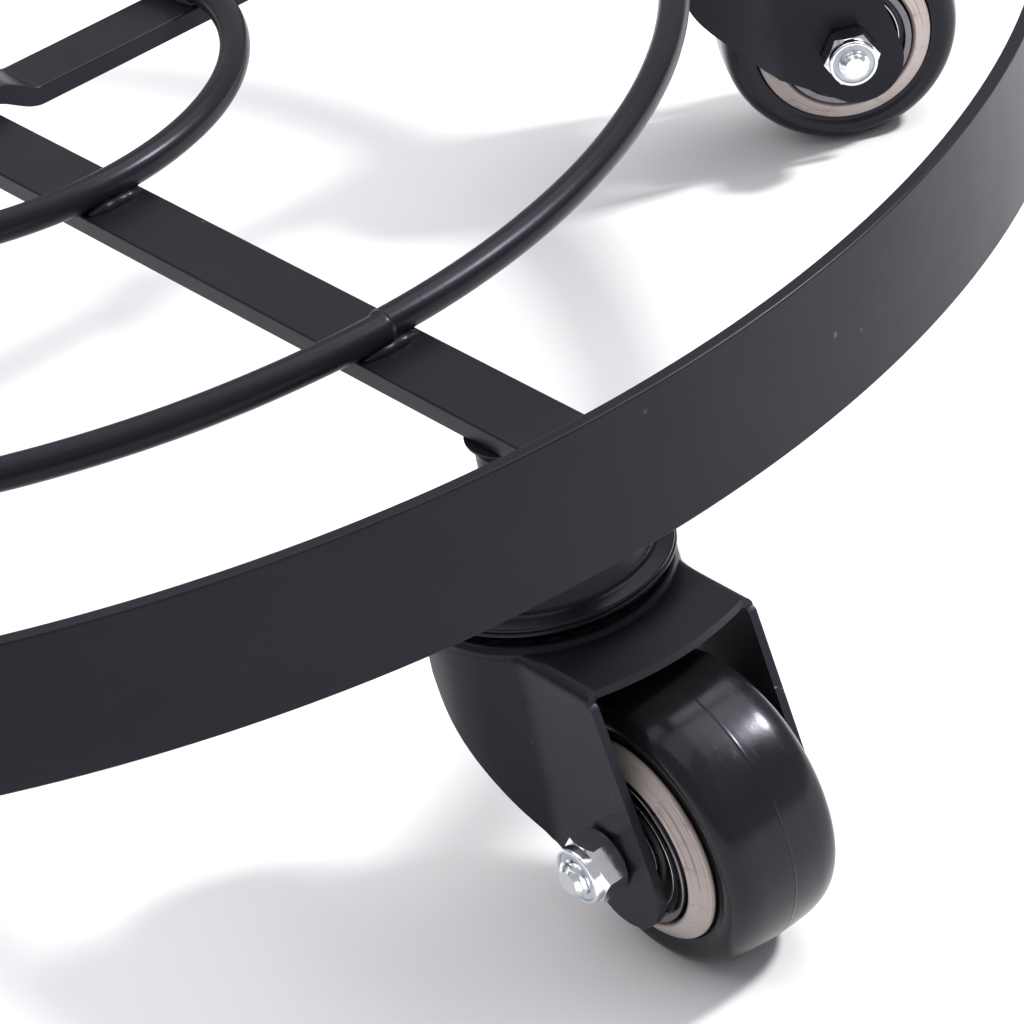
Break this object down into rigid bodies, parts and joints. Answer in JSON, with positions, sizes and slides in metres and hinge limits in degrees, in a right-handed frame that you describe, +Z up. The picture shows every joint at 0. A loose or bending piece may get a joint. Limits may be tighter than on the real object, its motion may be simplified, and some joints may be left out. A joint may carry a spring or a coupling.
{
  "type": "plant pot caddy",
  "caption": "Round black steel plant pot caddy: a flat-bar hoop with crossed bars and wire rings, on swivel casters with rubber-tyred wheels.",
  "frame": {"origin": "on the floor, below the middle of the hoop", "axes": "+Z up; +X from the middle towards caster 1, along the straight bar; +Y towards caster 2, along the joggled bar"},
  "size_m": [0.3458, 0.3448, 0.083],
  "materials": {
    "black_paint": "semi-gloss",
    "black_tyre": "semi-gloss",
    "black_seal": "satin",
    "grey_beige_plastic": "satin",
    "zinc_plate": "bright zinc",
    "bearing_steel": "polished"
  },
  "bodies": {
    "frame": {"hoop": "black_paint", "cross_bar_straight": "black_paint", "cross_bar_joggled": "black_paint", "wire_ring_large": "black_paint", "wire_ring_small": "black_paint", "caster_1_kingpin": "black_paint", "caster_1_swivel_cap": "black_paint", "caster_1_ball_ring": "bearing_steel", "caster_2_kingpin": "black_paint", "caster_2_swivel_cap": "black_paint", "caster_2_ball_ring": "bearing_steel", "caster_3_kingpin": "black_paint", "caster_3_swivel_cap": "black_paint", "caster_3_ball_ring": "bearing_steel", "caster_4_kingpin": "black_paint", "caster_4_swivel_cap": "black_paint", "caster_4_ball_ring": "bearing_steel"},
    "caster_1_swivel": {"caster_1_fork": "black_paint", "caster_1_axle_bolt": "zinc_plate", "caster_1_axle_nut": "zinc_plate", "caster_1_axle_sleeve": "bearing_steel", "caster_1_inner_race_left": "bearing_steel", "caster_1_inner_race_right": "bearing_steel"},
    "caster_1_wheel": {"caster_1_outer_race_left": "black_seal", "caster_1_outer_race_right": "black_seal", "caster_1_wheel_core": "grey_beige_plastic", "caster_1_tyre": "black_tyre"},
    "caster_2_swivel": {"caster_2_fork": "black_paint", "caster_2_axle_bolt": "zinc_plate", "caster_2_axle_nut": "zinc_plate", "caster_2_axle_sleeve": "bearing_steel", "caster_2_inner_race_left": "bearing_steel", "caster_2_inner_race_right": "bearing_steel"},
    "caster_2_wheel": {"caster_2_outer_race_left": "black_seal", "caster_2_outer_race_right": "black_seal", "caster_2_wheel_core": "grey_beige_plastic", "caster_2_tyre": "black_tyre"},
    "caster_3_swivel": {"caster_3_fork": "black_paint", "caster_3_axle_bolt": "zinc_plate", "caster_3_axle_nut": "zinc_plate", "caster_3_axle_sleeve": "bearing_steel", "caster_3_inner_race_left": "bearing_steel", "caster_3_inner_race_right": "bearing_steel"},
    "caster_3_wheel": {"caster_3_outer_race_left": "black_seal", "caster_3_outer_race_right": "black_seal", "caster_3_wheel_core": "grey_beige_plastic", "caster_3_tyre": "black_tyre"},
    "caster_4_swivel": {"caster_4_fork": "black_paint", "caster_4_axle_bolt": "zinc_plate", "caster_4_axle_nut": "zinc_plate", "caster_4_axle_sleeve": "bearing_steel", "caster_4_inner_race_left": "bearing_steel", "caster_4_inner_race_right": "bearing_steel"},
    "caster_4_wheel": {"caster_4_outer_race_left": "black_seal", "caster_4_outer_race_right": "black_seal", "caster_4_wheel_core": "grey_beige_plastic", "caster_4_tyre": "black_tyre"}
  },
  "joints": [
    {"name": "caster_1_swivel_turn", "type": "hinge", "parent": "frame", "child": "caster_1_swivel", "pos_m": [0.131, 0, 0.045], "axis": [0, 0, 1], "continuous": true},
    {"name": "caster_1_wheel_spin", "type": "hinge", "parent": "caster_1_swivel", "child": "caster_1_wheel", "pos_m": [0.1534, 0, 0.0195], "axis": [0, 1, 0], "continuous": true},
    {"name": "caster_2_swivel_turn", "type": "hinge", "parent": "frame", "child": "caster_2_swivel", "pos_m": [0, 0.1336, 0.045], "axis": [0, 0, 1], "continuous": true},
    {"name": "caster_2_wheel_spin", "type": "hinge", "parent": "caster_2_swivel", "child": "caster_2_wheel", "pos_m": [0.01187, 0.1526, 0.0195], "axis": [-0.848, 0.5299, 0], "continuous": true},
    {"name": "caster_3_swivel_turn", "type": "hinge", "parent": "frame", "child": "caster_3_swivel", "pos_m": [-0.131, 0, 0.045], "axis": [0, 0, 1], "continuous": true},
    {"name": "caster_3_wheel_spin", "type": "hinge", "parent": "caster_3_swivel", "child": "caster_3_wheel", "pos_m": [-0.1534, 0, 0.0195], "axis": [0, -1, 0], "continuous": true},
    {"name": "caster_4_swivel_turn", "type": "hinge", "parent": "frame", "child": "caster_4_swivel", "pos_m": [0, -0.1336, 0.045], "axis": [0, 0, 1], "continuous": true},
    {"name": "caster_4_wheel_spin", "type": "hinge", "parent": "caster_4_swivel", "child": "caster_4_wheel", "pos_m": [-0.01187, -0.1526, 0.0195], "axis": [0.848, -0.5299, 0], "continuous": true}
  ]
}
